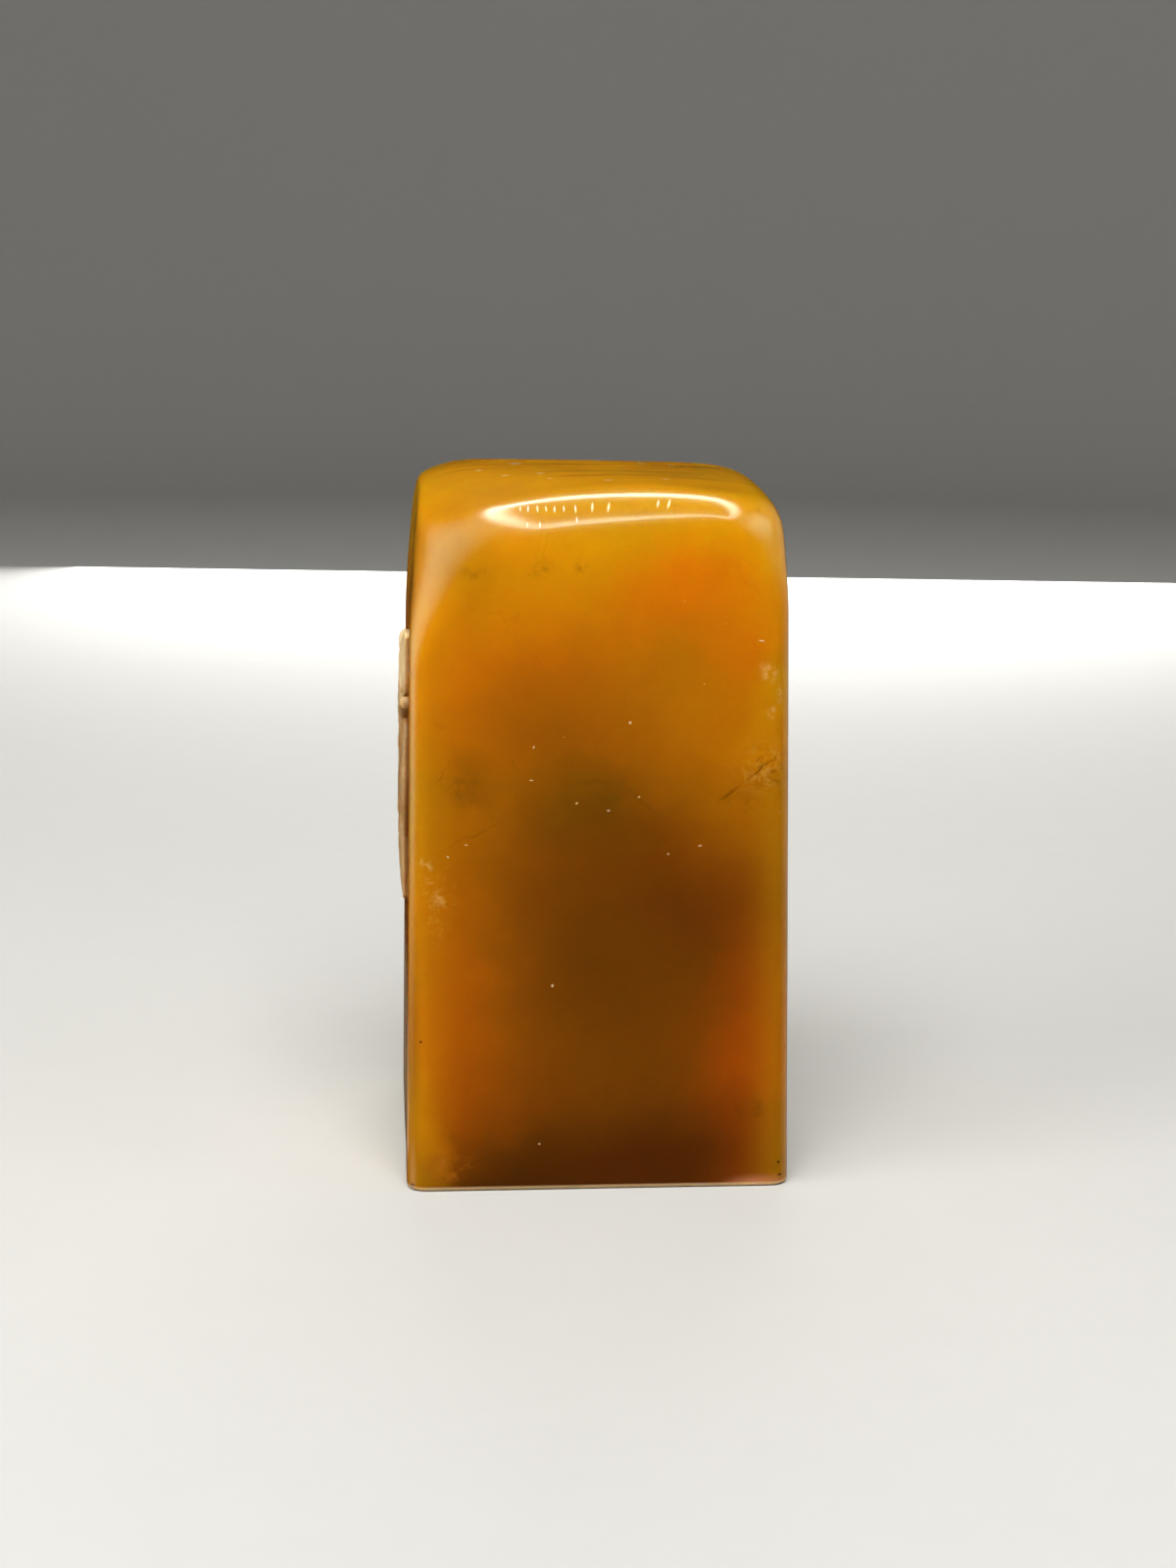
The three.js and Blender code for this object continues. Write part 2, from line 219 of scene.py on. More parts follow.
def quarter_guide(corner, flat_steps, arc_steps):
    """A quarter turn round a unit square: straight steps, an arc, straight steps."""
    flat = 1 - corner
    points = [(1, flat * step / flat_steps) for step in range(flat_steps)]
    for step in range(arc_steps + 1):
        angle = math.pi / 2 * step / arc_steps
        points.append((flat + corner * math.cos(angle), flat + corner * math.sin(angle)))
    points += [(flat * step / flat_steps, 1) for step in range(flat_steps - 1, 0, -1)]
    return np.array(points)


def closed_skin(rings, low_centre, high_centre):
    """Points and faces of a closed skin over rings of equal count, lowest first."""
    rings = np.asarray(rings)
    levels, count = rings.shape[:2]
    points = np.concatenate([rings.reshape(-1, 3), [low_centre, high_centre]])
    low, high = levels * count, levels * count + 1
    faces = []
    for side in range(count):
        following = (side + 1) % count
        faces.append((low, following, side))
        for level in range(levels - 1):
            here, above = level * count, (level + 1) * count
            faces.append((here + side, here + following, above + following, above + side))
        faces.append((high, (levels - 1) * count + side, (levels - 1) * count + following))
    return points, faces


def mesh_object(name, points, faces, material=None):
    """A smooth shaded object at the origin, from points in millimetres."""
    mesh = bpy.data.meshes.new(name)
    mesh.from_pydata((np.asarray(points) * MM).tolist(), [], faces)
    mesh.polygons.foreach_set("use_smooth", np.ones(len(mesh.polygons), bool))
    if material:
        mesh.materials.append(material)
    made = bpy.data.objects.new(name, mesh)
    bpy.context.scene.collection.objects.link(made)
    return made


def applied(source, name):
    """The object with its modifiers applied, as a plain mesh under a new name."""
    graph = bpy.context.evaluated_depsgraph_get()
    mesh = bpy.data.meshes.new_from_object(source.evaluated_get(graph))
    mesh.name = name
    made = bpy.data.objects.new(name, mesh)
    bpy.context.scene.collection.objects.link(made)
    bpy.data.objects.remove(source)
    return made


def block_object():
    quarter = quarter_guide(corner=3.4 / HALF_WIDTH, flat_steps=22, arc_steps=26)
    turns = [(quarter @ np.array([[c, s], [-s, c]])) for c, s in ((1, 0), (0, 1), (-1, 0), (0, -1))]
    plan = np.concatenate(turns) * [HALF_WIDTH, HALF_DEPTH]
    level = np.column_stack([plan, np.zeros(len(plan))])
    crown_centre = BLOCK_HEIGHT - HALF_WIDTH
    rings = []
    foot_steps = 6
    foot_ring = skin_points(FOOT_ROUNDING, level)
    for step in range(foot_steps):
        angle = math.pi / 2 * step / foot_steps
        ring = foot_ring * (1 - FOOT_ROUNDING * (1 - math.sin(angle)) / HALF_WIDTH)
        ring[:, 2] = FOOT_ROUNDING * (1 - math.cos(angle))
        rings.append(ring)
    wall_steps = 64
    for step in range(wall_steps):
        height = FOOT_ROUNDING + (crown_centre - FOOT_ROUNDING) * step / wall_steps
        rings.append(skin_points(height, level))
    for out, up in quarter_guide(corner=6 / HALF_WIDTH, flat_steps=16, arc_steps=44):
        fan = np.column_stack([plan * out, np.full(len(plan), up * HALF_WIDTH)])
        rings.append(skin_points(crown_centre, fan))
    top = skin_points(crown_centre, np.array([[0.0, 0.0, 1.0]]))[0]
    return mesh_object("block_skin", *closed_skin(rings, (0, 0, 0), top))


# Engraving of the print face
def spiral_path(near, far, entry):
    """Corners of the groove that winds into one quarter of the print face."""
    pitch = STROKE_WIDTH + GROOVE_WIDTH
    path = [(near, entry)]
    low_x = low_y = near
    high_x = high_y = far
    while high_x - low_x > GROOVE_WIDTH and high_y - low_y > GROOVE_WIDTH:
        path += [(low_x, low_y), (high_x, low_y), (high_x, high_y)]
        low_x += pitch
        if high_x - low_x < GROOVE_WIDTH:
            break
        path.append((low_x, high_y))
        low_y += pitch
        high_x -= pitch
        high_y -= pitch
    return path


def engraving_cutter():
    near = (STROKE_WIDTH + GROOVE_WIDTH) / 2
    ring = HALF_WIDTH - FOOT_ROUNDING - BORDER_WIDTH - GROOVE_WIDTH / 2
    path = spiral_path(near, ring - STROKE_WIDTH - GROOVE_WIDTH, ring)
    runs = [((-ring, side), (ring, side)) for side in (-ring, ring)]
    runs += [((side, -ring), (side, ring)) for side in (-ring, ring)]
    for mirror_x in (-1, 1):
        for mirror_y in (-1, 1):
            turned = [(x * mirror_x, y * mirror_y) for x, y in path]
            runs += list(zip(turned, turned[1:]))
    points, faces = [], []
    for (start_x, start_y), (end_x, end_y) in runs:
        low_x, high_x = min(start_x, end_x) - GROOVE_WIDTH / 2, max(start_x, end_x) + GROOVE_WIDTH / 2
        low_y, high_y = min(start_y, end_y) - GROOVE_WIDTH / 2, max(start_y, end_y) + GROOVE_WIDTH / 2
        first = len(points)
        for z in (-1, ENGRAVING_DEPTH):
            points += [(low_x, low_y, z), (high_x, low_y, z), (high_x, high_y, z), (low_x, high_y, z)]
        quads = [(3, 2, 1, 0), (4, 5, 6, 7), (0, 1, 5, 4), (1, 2, 6, 5), (2, 3, 7, 6), (3, 0, 4, 7)]
        faces += [tuple(first + corner for corner in quad) for quad in quads]
    return mesh_object("engraving_cutter", points, faces)


def engraved_block(material):
    block = block_object()
    cutter = engraving_cutter()
    cut = block.modifiers.new("engraving", "BOOLEAN")
    cut.operation = "DIFFERENCE"
    cut.object = cutter
    cut.solver = "EXACT"
    cut.use_self = True
    made = applied(block, "seal_block")
    bpy.data.objects.remove(cutter)
    made.data.materials.clear()
    made.data.materials.append(material)
    made.data.set_sharp_from_angle(angle=math.radians(35))
    return made


# Relief carving
PANEL_HALF = HALF_DEPTH - RELIEF_SIDE_MARGIN
PANEL_FOOT = BLOCK_HEIGHT - RELIEF_TOP_DROP - RELIEF_HEIGHT
WALL_LEAN = math.atan(LEAN["left"])


def on_panel(across, up):
    return np.array([across * PANEL_HALF, PANEL_FOOT + up * RELIEF_HEIGHT])


def onto_face(points):
    """From panel coordinates (across, up, out of the face) to the leaning left face."""
    across, up, out = np.moveaxis(np.asarray(points), -1, 0)
    lean_cos, lean_sin = math.cos(WALL_LEAN), math.sin(WALL_LEAN)
    x = -HALF_WIDTH - lean_cos * out + lean_sin * up
    return np.stack([x, -across, lean_cos * up + lean_sin * out], -1)


def strip(centre, side, half, across, rise):
    """A relief strip: sections flat below, with a rim and a modelled top, closed at both ends."""
    steps = len(centre)
    rings = []
    for step in range(steps):
        top = centre[step] + np.outer(across * half[step], side[step])
        ring = [(*point, height) for point, height in zip(top, rise[step])]
        for end in (-1, 1):
            foot = centre[step] + end * half[step] * side[step]
            ring.append((*foot, -RELIEF_SINK))
        rings.append(ring)
    rings = np.array(rings)
    middles = [(rings[end][0] + rings[end][len(across)]) / 2 for end in (0, -1)]
    points, faces = closed_skin(rings, *middles)
    return onto_face(points), faces


def along_curve(curve, steps):
    """Centre points and leftward unit vectors of a plane curve given as a function of 0 to 1."""
    share = np.linspace(0, 1, steps)
    centre = np.array([curve(s) for s in share])
    ahead = np.gradient(centre, axis=0)
    ahead /= np.linalg.norm(ahead, axis=1, keepdims=True)
    return share, centre, np.column_stack([-ahead[:, 1], ahead[:, 0]])


def bezier(base, bend, tip):
    base, bend, tip = on_panel(*base), on_panel(*bend), on_panel(*tip)
    return lambda s: base * (1 - s) ** 2 + bend * 2 * s * (1 - s) + tip * s * s


def catmull(points):
    """The centripetal spline through the branch's bends."""
    bends = np.array([on_panel(*point) for point in points])
    ends = np.concatenate([[2 * bends[0] - bends[1]], bends, [2 * bends[-1] - bends[-2]]])
    knots = np.concatenate([[0], np.cumsum(np.linalg.norm(np.diff(ends, axis=0), axis=1) ** 0.5)])

    def at(share):
        place = min(share * (len(bends) - 1), len(bends) - 1 - 1e-9)
        span = int(place)
        p, t = ends[span : span + 4], knots[span : span + 4]
        now = mix(t[1], t[2], place - span)
        a = [p[i] + (p[i + 1] - p[i]) * (now - t[i]) / (t[i + 1] - t[i]) for i in range(3)]
        b = [a[i] + (a[i + 1] - a[i]) * (now - t[i]) / (t[i + 2] - t[i]) for i in range(2)]
        return b[0] + (b[1] - b[0]) * (now - t[1]) / (t[2] - t[1])

    return at


def leaf(name, material, base, bend, tip, full_width, veins):
    share, centre, side = along_curve(bezier(base, bend, tip), steps=110)
    stem_half = STALK_WIDTH / 4
    serration = 1 - LEAF_SERRATION * (1 - (share * veins * 2) % 1)
    half = stem_half + (full_width / 2 * serration - stem_half) * np.sin(math.pi * share**0.8) ** 0.9
    across = np.linspace(1, -1, 49)
    along, over = np.meshgrid(share, across, indexing="ij")
    offset = np.abs(over) * half[:, None]
    swell = np.sin(math.pi * (0.12 + 0.8 * along))
    rib = np.minimum(offset / LEAF_RIB_WIDTH, 1)
    crown = np.maximum(1 - over**2, 0) ** 0.6
    rise = LEAF_EDGE + (LEAF_RISE - LEAF_EDGE) * swell * crown * (0.6 + 0.4 * rib)
    slant = along * veins - 0.9 * np.abs(over)
    vein = (0.5 + 0.5 * np.cos(2 * math.pi * slant)) ** 5
    rise -= LEAF_VEIN_DEPTH * vein * crown * swell * rib
    rise += LEAF_CORD_RISE * np.exp(-((offset / LEAF_CORD_WIDTH) ** 2)) * swell
    return mesh_object(name, *strip(centre, side, half, across, rise), material)


def branch(material):
    bends = [(-0.96, 0.17), (-0.58, 0.34), (-0.105, 0.486), (0.358, 0.65), (0.78, 0.725)]
    share, centre, side = along_curve(catmull(bends), steps=150)
    knot_places, knot_reach = (0.2, 0.44, 0.66, 0.86), 0.018
    knots = sum(np.exp(-(((share - place) / knot_reach) ** 2)) for place in knot_places)
    half = mix(BRANCH_WIDTH, BRANCH_TIP_WIDTH, share) / 2 * (0.96 + 0.1 * knots)
    across = np.linspace(1, -1, 33)
    along, over = np.meshgrid(share, across, indexing="ij")
    rise = LEAF_EDGE + (BRANCH_RISE - LEAF_EDGE) * np.sqrt(np.maximum(1 - over**2, 0))
    bark = np.cos(over * 9 + 2.2 * np.sin(along * 21)) * np.cos(along * 13 + over * 2)
    rise += BARK_DEPTH * bark * (1 - over**2) - 0.02 * (1 - over**2)
    return mesh_object("seal_branch", *strip(centre, side, half, across, rise), material)


def tendril(material):
    eye = on_panel(-0.38, 0.207)
    turns = 1.35

    def curl(share):
        radius = mix(TENDRIL_RADIUS, TENDRIL_EYE_RADIUS, share)
        angle = 0.6 * math.pi + share * turns * 2 * math.pi
        return eye + radius * np.array([math.cos(angle), math.sin(angle)])

    share, centre, side = along_curve(curl, steps=130)
    half = np.full(len(share), TENDRIL_WIDTH / 2) * mix(1.0, 0.8, share)
    across = np.linspace(1, -1, 17)
    round_top = np.sqrt(np.maximum(1 - across**2, 0))
    rise = np.tile(LEAF_EDGE / 2 + (TENDRIL_RISE - LEAF_EDGE / 2) * round_top, (len(share), 1))
    return mesh_object("seal_tendril", *strip(centre, side, half, across, rise), material)


def berry_dome():
    """One domed berry with a small eye, flat where it meets the face."""
    profile = [(BERRY_RADIUS, -RELIEF_SINK)]
    arc_steps = 15
    for step in range(arc_steps):
        angle = math.pi / 2 * step / arc_steps
        dimple = BERRY_EYE_DEPTH * math.exp(-((math.cos(angle) / 0.22) ** 2))
        height = LEAF_EDGE + (BERRY_RISE - LEAF_EDGE) * math.sin(angle) - dimple
        profile.append((BERRY_RADIUS * math.cos(angle), height))
    turn = full_turn(32)
    rings = [np.column_stack([r * np.cos(turn), r * np.sin(turn), 0 * turn + h]) for r, h in profile]
    eye = (0, 0, BERRY_RISE - BERRY_EYE_DEPTH)
    return mesh_object("berry_dome", *closed_skin(rings, (0, 0, -RELIEF_SINK), eye))


def berry_tree(dome, material):
    """Geometry nodes that set a berry on each point, varied in size and turn from a fixed seed."""
    tree = bpy.data.node_groups.new("berries on points", "GeometryNodeTree")
    sockets = tree.interface
    sockets.new_socket("Points", in_out="INPUT", socket_type="NodeSocketGeometry")
    smallest = sockets.new_socket("Smallest berry", in_out="INPUT", socket_type="NodeSocketFloat")
    largest = sockets.new_socket("Largest berry", in_out="INPUT", socket_type="NodeSocketFloat")
    seed = sockets.new_socket("Seed", in_out="INPUT", socket_type="NodeSocketInt")
    sockets.new_socket("Berries", in_out="OUTPUT", socket_type="NodeSocketGeometry")
    nodes, links = tree.nodes, tree.links
    given, result = nodes.new("NodeGroupInput"), nodes.new("NodeGroupOutput")
    berry = nodes.new("GeometryNodeObjectInfo")
    berry.inputs["Object"].default_value = dome
    size = nodes.new("FunctionNodeRandomValue")
    size.data_type = "FLOAT"
    turn = nodes.new("FunctionNodeRandomValue")
    turn.data_type = "FLOAT_VECTOR"
    turn.inputs["Min"].default_value = (0, 0, 0)
    turn.inputs["Max"].default_value = (0, 0, 2 * math.pi)
    place = nodes.new("GeometryNodeInstanceOnPoints")
    real = nodes.new("GeometryNodeRealizeInstances")
    paint = nodes.new("GeometryNodeSetMaterial")
    paint.inputs["Material"].default_value = material
    links.new(given.outputs["Smallest berry"], size.inputs[2])
    links.new(given.outputs["Largest berry"], size.inputs[3])
    links.new(given.outputs["Seed"], size.inputs["Seed"])
    links.new(given.outputs["Seed"], turn.inputs["Seed"])
    links.new(given.outputs["Points"], place.inputs["Points"])
    links.new(berry.outputs["Geometry"], place.inputs["Instance"])
    links.new(turn.outputs["Value"], place.inputs["Rotation"])
    links.new(size.outputs[1], place.inputs["Scale"])
    links.new(place.outputs["Instances"], real.inputs["Geometry"])
    links.new(real.outputs["Geometry"], paint.inputs["Geometry"])
    links.new(paint.outputs["Geometry"], result.inputs["Berries"])
    return tree, {smallest.identifier: 0.94, largest.identifier: 1.0, seed.identifier: 5}


def berry_stalk(foot, end, material):
    def bent(share):
        return mix(foot, end, share) + [0.12 * math.sin(4 * share), 0]

    _, centre, side = along_curve(bent, steps=30)
    across = np.linspace(1, -1, 17)
    top = LEAF_EDGE + (TENDRIL_RISE - LEAF_EDGE) * np.sqrt(np.maximum(1 - across**2, 0))
    half = np.full(len(centre), STALK_WIDTH / 2)
    rise = np.tile(top, (len(centre), 1))
    return mesh_object("berry_stalk", *strip(centre, side, half, across, rise), material)


def berries(material):
    foot = on_panel(0.04, 0.592)
    stalk_end = foot + [0, STALK_LENGTH + BERRY_RADIUS]
    points = []
    for row, count in enumerate([2, 3, 2, 1]):
        for berry in range(count):
            across = stalk_end[0] + (berry - (count - 1) / 2) * BERRY_PITCH
            points.append((across, stalk_end[1] + row * BERRY_ROW_PITCH, 0))
    dome = berry_dome()
    bunch = mesh_object("berry_points", points, [])
    tree, values = berry_tree(dome, material)
    grow = bunch.modifiers.new("berries", "NODES")
    grow.node_group = tree
    for socket, value in values.items():
        grow[socket] = value
    bunch = applied(bunch, "seal_berries")
    bpy.data.objects.remove(dome)
    flat = np.array([vertex.co for vertex in bunch.data.vertices]) / MM
    for vertex, place in zip(bunch.data.vertices, onto_face(flat) * MM):
        vertex.co = place
    stalk = berry_stalk(foot, stalk_end, material)
    with bpy.context.temp_override(active_object=bunch, selected_editable_objects=[bunch, stalk]):
        bpy.ops.object.join()
    return bunch


# Materials
NOISE_SETTINGS = {"noise_dimensions": "3D", "normalize": True}


class Value:
    """A number in a shader. Python's operators on it add Math nodes."""

    def __init__(self, paint, socket):
        self.paint = paint
        self.socket = socket

    def maths(self, operation, *others):
        return self.paint.node("Math", {"operation": operation}, [self, *others])

    def __add__(self, other):
        return self.maths("ADD", other)

    def __sub__(self, other):
        return self.maths("SUBTRACT", other)

    def __rsub__(self, other):
        return self.paint.node("Math", {"operation": "SUBTRACT"}, [other, self])

    def __mul__(self, other):
        return self.maths("MULTIPLY", other)

    def __truediv__(self, other):
        return self.maths("DIVIDE", other)

    def __abs__(self):
        return self.maths("ABSOLUTE")

    def maximum(self, other):
        return self.maths("MAXIMUM", other)

    __radd__ = __add__
    __rmul__ = __mul__


class Paint:
    """A material's node tree."""

    def __init__(self, name):
        self.material = bpy.data.materials.new(name)
        self.material.use_nodes = True
        self.tree = self.material.node_tree
        self.tree.nodes.clear()

    def node(self, kind, settings=None, sockets=None, output=0):
        """Adds a node: its settings first, then its inputs by place or name. Gives one output."""
        made = self.tree.nodes.new("ShaderNode" + kind)
        for name, value in (settings or {}).items():
            if name == "ramp":
                stops = made.color_ramp.elements
                stops.remove(stops[1])
                stops[0].position, stops[0].color = value[0][0], (*value[0][1], 1)
                for place, tone in value[1:]:
                    stops.new(place).color = (*tone, 1)
            else:
                setattr(made, name, value)
        pairs = sockets.items() if isinstance(sockets, dict) else enumerate(sockets or [])
        for name, value in pairs:
            if isinstance(value, Value):
                self.tree.links.new(value.socket, made.inputs[name])
            else:
                made.inputs[name].default_value = value
        return Value(self, made.outputs[output]) if made.outputs else None

    def place(self):
        """The point on the object in millimetres."""
        spot = self.node("TexCoord", output="Object")
        return self.node("VectorMath", {"operation": "SCALE"}, {0: spot, "Scale": 1 / MM})

    def split(self, vector):
        made = self.node("SeparateXYZ", sockets=[vector]).socket.node
        return [Value(self, made.outputs[axis]) for axis in "XYZ"]

    def noise(self, place, size, detail=2.0, roughness=0.5, stretch=(1, 1, 1), shift=(0, 0, 0), warp=0.0):
        """Noise from 0 to 1 whose features are about the given size in millimetres."""
        spot = self.node("Mapping", sockets={"Vector": place, "Scale": stretch, "Location": shift})
        return self.node("TexNoise", NOISE_SETTINGS, {
            "Vector": spot,
            "Scale": 1 / size,
            "Detail": detail,
            "Roughness": roughness,
            "Distortion": warp,
        })

    def drift(self, place, size, amount):
        """The place moved by up to about the amount, in smooth noise of the given size."""
        inputs = {"Vector": place, "Scale": 1 / size, "Detail": 2}
        push = self.node("TexNoise", NOISE_SETTINGS, inputs, output="Color")
        centred = self.node("VectorMath", {"operation": "SUBTRACT"}, [push, (0.5, 0.5, 0.5)])
        scaled = self.node("VectorMath", {"operation": "SCALE"}, {0: centred, "Scale": 4 * amount})
        return self.node("VectorMath", {"operation": "ADD"}, [place, scaled])

    def step(self, value, low, high, top=1.0):
        """0 below low, the top value above high, smooth between."""
        settings = {"interpolation_type": "SMOOTHSTEP"}
        inputs = {"Value": value, "From Min": low, "From Max": high, "To Max": top}
        return self.node("MapRange", settings, inputs)

    def blend(self, share, first, second):
        """Mixes two colours."""
        settings = {"data_type": "RGBA", "clamp_factor": True}
        tones = [tone if isinstance(tone, Value) else (*tone, 1) for tone in (first, second)]
        return self.node("Mix", settings, {0: share, 6: tones[0], 7: tones[1]}, output=2)

    def zone(self, place, middle, reach, turn=0.0, share=1.0):
        """The share at the middle of an ellipsoid turned about Y, falling smoothly to 0 at its reach."""
        rotation = (0, math.radians(-turn), 0)
        inputs = {"Vector": place, "Location": middle, "Rotation": rotation, "Scale": reach}
        spot = self.node("Mapping", {"vector_type": "TEXTURE"}, inputs)
        near = self.node("TexGradient", {"gradient_type": "SPHERICAL"}, [spot], output="Fac")
        return self.step(near, 0, 1, share)

    def spots(self, place, spots):
        """1 on each of some small ellipsoids, soft at their rims."""
        shown = 0.0
        for *middle, reach_x, reach_y, reach_z, turn in spots:
            shown = self.zone(place, middle, (reach_x, reach_y, reach_z), turn, share=3) + shown
        return shown

    def veins(self, place, size, width, **noise):
        """Thin wandering lines, 1 on the line."""
        off_line = abs(self.noise(place, size, **noise) - 0.5)
        return 1 - self.step(off_line, 0, width)

    def specks(self, place, spacing, radius, share):
        """Small round specks in a share of the cells of a given spacing."""
        settings = {"voronoi_dimensions": "3D", "feature": "F1"}
        inputs = {"Vector": place, "Scale": 1 / spacing}
        near = self.node("TexVoronoi", settings, inputs, output="Distance")
        cell = self.node("TexVoronoi", settings, inputs, output="Color")
        chosen = self.step(self.node("SeparateXYZ", sockets=[cell]), 1 - share, 1.001 - share)
        round_speck = 1 - self.step(near, 0.6 * radius / spacing, radius / spacing)
        return round_speck * chosen

    def finish(self, colour, roughness, normal=None, **constants):
        """Closes the tree with a Principled shader; constants are set on its own sockets."""
        inputs = {"Base Color": colour, "Roughness": roughness}
        if normal is not None:
            inputs["Normal"] = normal
        for name, value in constants.items():
            inputs[name.replace("_", " ")] = value
        shader = self.node("BsdfPrincipled", {"subsurface_method": "RANDOM_WALK"}, inputs)
        self.node("OutputMaterial", sockets={"Surface": shader})
        return self.material


def srgb(red, green, blue):
    """Linear colour from the 0 to 255 values that a screen shows."""
    tones = np.array([red, green, blue]) / 255
    return tuple(np.where(tones <= 0.04045, tones / 12.92, ((tones + 0.055) / 1.055) ** 2.4))


# Colour zones of the stone: middle across and up, reach across and up, turn in degrees, and the linear red
# and green at the middle. Each has its middle on the front or back wall and reaches deep into the stone.
ZONE_DEPTH = 22.0
FRONT_ZONES = {
    "orange glow under the right shoulder": (5.0, 39.0, 7.5, 6.5, -126, 0.94, 0.175),
    "yellow left margin": (-11.0, 42.0, 14.0, 18.0, -30, 0.44, 0.165),
    "golden band": (4.5, 35.0, 15.0, 16.5, 4, 0.36, 0.125),
    "dusk over the knot": (-2.0, 30.0, 13.5, 9.5, -40, 0.25, 0.075),
    "left olive patch": (-8.5, 28.0, 2.0, 3.5, 6, 0.25, 0.08),
    "olive knot": (-0.5, 25.5, 7.0, 5.0, -22, 0.165, 0.07),
    "gold beside the right edge": (12.0, 35.0, 3.0, 9.0, -28, 0.41, 0.17),
    "dark cloud on the right": (4.5, 19.0, 18.0, 12.0, -26, 0.115, 0.025),
    "brown middle": (0.5, 14.5, 10.5, 18.0, 28, 0.125, 0.035),
    "orange flank on the left": (-19.0, 9.5, 16.0, 18.0, 2, 0.54, 0.115),
    "orange flank on the right": (12.0, 7.0, 8.5, 18.0, -8, 0.31, 0.055),
    "dark foot": (2.0, 1.0, 18.0, 7.0, 14, 0.07, 0.015),
    "clear corner on the left": (-12.0, 5.5, 2.0, 7.5, 20, 0.39, 0.12),
}
BACK_ZONES = {
    "gold under the back shoulder": (-4.0, 40.0, 16.0, 8.0, 8, 0.66, 0.21),
    "orange belt": (6.0, 30.0, 12.0, 9.0, -20, 0.50, 0.115),
    "brown heart": (-2.0, 20.0, 12.0, 10.0, 25, 0.15, 0.034),
    "orange low on the back": (8.0, 9.0, 8.0, 12.0, 10, 0.40, 0.075),
    "gold low on the back": (-9.0, 10.0, 7.0, 12.0, -12, 0.42, 0.135),
    "dark foot on the back": (0.0, 1.0, 17.0, 5.0, -6, 0.08, 0.006),
}
# Linear red and green under the zones, by height. Darker towards the foot, partly painted shade of light
# falling from above
RAMP = {
    0.0: (0.045, 0.015),
    6.0: (0.155, 0.04),
    13.0: (0.225, 0.065),
    20.0: (0.33, 0.1),
    28.0: (0.32, 0.11),
    36.0: (0.595, 0.125),
    42.0: (0.62, 0.29),
    46.6: (0.58, 0.275),
    BLOCK_HEIGHT: (0.76, 0.31),
}
STONE_BLUE = 0.0015

# Linear tones of marks and layers that lie over the zones
# the edge tone is partly a painted glow of light through the upright edges
EDGE_GLOW_GOLD = (0.42, 0.25, 0.004)
PATCH_OLIVE = (0.12, 0.09, 0.002)
LOOP_GOLD = (0.37, 0.19, 0.0015)
LOWER_EDGE_BROWN = (0.14, 0.055, 0.003)
SKIN_CREAM = (0.80, 0.55, 0.32)
DARK_PATCH_BROWN = (0.12, 0.03, 0.002)
STREAK_BROWN = (0.24, 0.10, 0.008)
FILM_GOLD = (0.50, 0.25, 0.008)
WISP_BROWN = (0.10, 0.045, 0.002)
VEIN_BROWN = (0.16, 0.06, 0.002)
FROST_GOLD = (0.60, 0.36, 0.05)
FLAKE_GOLD = (0.58, 0.34, 0.06)
CRACKLE_BROWN = (0.16, 0.05, 0.002)
CRACK_BROWN = (0.11, 0.035, 0.001)
SCUFF_CREAM = (0.64, 0.42, 0.12)
SPECK_BROWN = (0.05, 0.015, 0.001)
SMUDGE_BROWN = (0.33, 0.10, 0.006)
CORNER_HIGHLIGHT_CREAM = (0.62, 0.40, 0.22)
FOOT_GLOW_PINK = (0.62, 0.24, 0.11)
RIM_HIGHLIGHT_CREAM = (0.80, 0.55, 0.30)
# the mark tone also paints glints of light on the front shoulder
MARK_AND_GLINT_CREAM = (0.82, 0.66, 0.36)
DUST_CREAM = (0.80, 0.62, 0.36)
CUT_STONE = (0.58, 0.36, 0.12)

# Dark wisps under the polish: place on the front wall, reach across and up
WISPS = [
    (-8.6, 41.8, 1.4, 0.9),
    (-4.2, 41.9, 1.5, 1.0),
    (-1.6, 42.3, 0.9, 1.3),
    (-9.3, 27.7, 2.2, 2.2),
    (0.6, 27.3, 2.6, 1.5),
    (9.2, 26.6, 2.6, 1.4),
    (12.0, 28.2, 1.9, 1.8),
    (-10.2, 1.6, 2.8, 2.0),
    (10.2, 5.6, 1.6, 1.6),
    (12.4, 1.4, 1.2, 1.8),
]

# Small marks of wear and dust, and painted glints along the front shoulder: middle, reach across, deep and
# up, and turn about Y in degrees
CROWN_MARKS = [
    (-5.1, 3.3, 47.6, 0.7, 0.5, 0.5, 0),
    (-3.0, 8.5, 47.5, 0.25, 0.8, 0.5, 0),
    (1.0, 7.2, 47.6, 0.25, 0.7, 0.5, 0),
    (-7.8, -0.2, 47.4, 0.35, 0.25, 0.5, 0),
    (-6.1, -2.7, 47.3, 0.4, 0.2, 0.5, 0),
    (-3.7, -2.5, 47.4, 0.4, 0.2, 0.5, 0),
    (-3.2, -4.7, 47.3, 0.3, 0.15, 0.5, 0),
    (-12.0, -2.9, 45.6, 0.3, 0.2, 0.15, 0),
    (3.9, 4.8, 47.6, 0.5, 0.35, 0.5, 0),
    (6.0, 3.9, 47.5, 0.5, 0.35, 0.5, 0),
    (4.5, -5.9, 47.3, 0.4, 0.18, 0.5, 0),
    (0.6, -6.4, 47.3, 0.5, 0.15, 0.5, 0),
]
